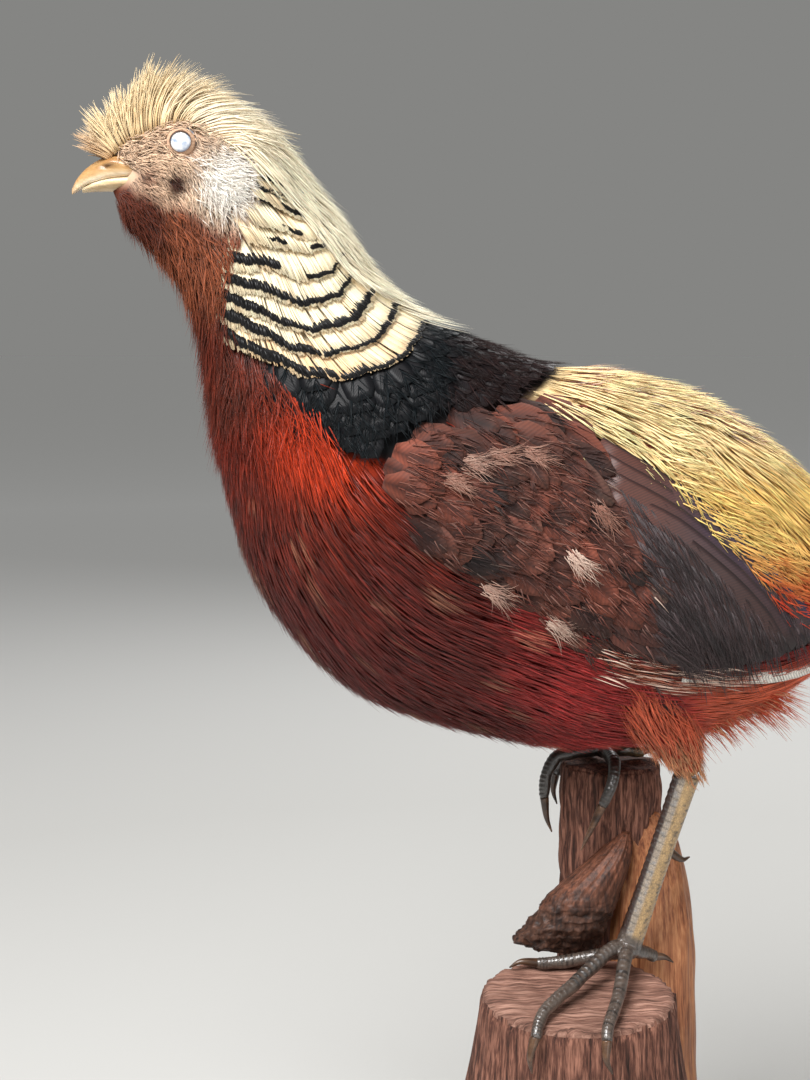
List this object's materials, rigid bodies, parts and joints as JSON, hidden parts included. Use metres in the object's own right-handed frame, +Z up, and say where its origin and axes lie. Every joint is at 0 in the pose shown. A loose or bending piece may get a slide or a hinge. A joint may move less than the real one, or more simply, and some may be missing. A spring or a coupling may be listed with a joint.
{
  "type": "taxidermy golden pheasant on a wood stump",
  "caption": "Life-size mounted cock golden pheasant with a long drooping tail, one foot on a sawn stump and the other on a broken upright behind it.",
  "frame": {"origin": "centre of the stump's flat underside", "axes": "+Z up, -X the way the bird faces, +X along the tail, -Y the bird's left side"},
  "size_m": [0.9119, 0.1498, 0.5145],
  "materials": {
    "crest_feather": "satin",
    "cape_feather": "satin",
    "face_feather": "matte",
    "throat_feather": "matte",
    "breast_feather": "satin",
    "belly_feather": "satin",
    "rump_feather": "satin",
    "wing_covert": "matte",
    "wing_flight": "satin",
    "thigh_feather": "matte",
    "tail_covert": "satin",
    "tail_feather": "satin",
    "bill_horn": "satin",
    "leg_scale": "satin",
    "claw": "satin",
    "eye_glass": "gloss",
    "bark": "matte",
    "heartwood": "satin"
  },
  "bodies": {
    "root": {"perch_stump": "bark", "perch_upright": "bark", "perch_heartwood": "heartwood", "perch_stub": "bark", "tarsus_left": "leg_scale", "foot_left": "leg_scale", "thigh_left": "thigh_feather", "spur_left": "claw", "claw_inner_left": "claw", "claw_middle_left": "claw", "claw_outer_left": "claw", "claw_hind_left": "claw", "tarsus_right": "leg_scale", "foot_right": "leg_scale", "thigh_right": "thigh_feather", "spur_right": "claw", "claw_inner_right": "claw", "claw_middle_right": "claw", "claw_outer_right": "claw", "claw_hind_right": "claw", "head": "face_feather", "neck": "throat_feather", "breast": "breast_feather", "belly": "belly_feather", "rump": "rump_feather", "bill_upper": "bill_horn", "bill_lower": "bill_horn", "crest": "crest_feather", "cape": "cape_feather", "eye_left": "eye_glass", "wing_coverts_left": "wing_covert", "wing_flight_left": "wing_flight", "tail_covert_left": "tail_covert", "tail_1_left": "tail_feather", "tail_2_left": "tail_feather", "tail_3_left": "tail_feather", "tail_4_left": "tail_feather", "tail_5_left": "tail_feather", "tail_6_left": "tail_feather", "tail_7_left": "tail_feather", "tail_8_left": "tail_feather", "tail_9_left": "tail_feather", "eye_right": "eye_glass", "wing_coverts_right": "wing_covert", "wing_flight_right": "wing_flight", "tail_covert_right": "tail_covert", "tail_1_right": "tail_feather", "tail_2_right": "tail_feather", "tail_3_right": "tail_feather", "tail_4_right": "tail_feather", "tail_5_right": "tail_feather", "tail_6_right": "tail_feather", "tail_7_right": "tail_feather", "tail_8_right": "tail_feather", "tail_9_right": "tail_feather", "undertail": "thigh_feather"}
  },
  "joints": []
}
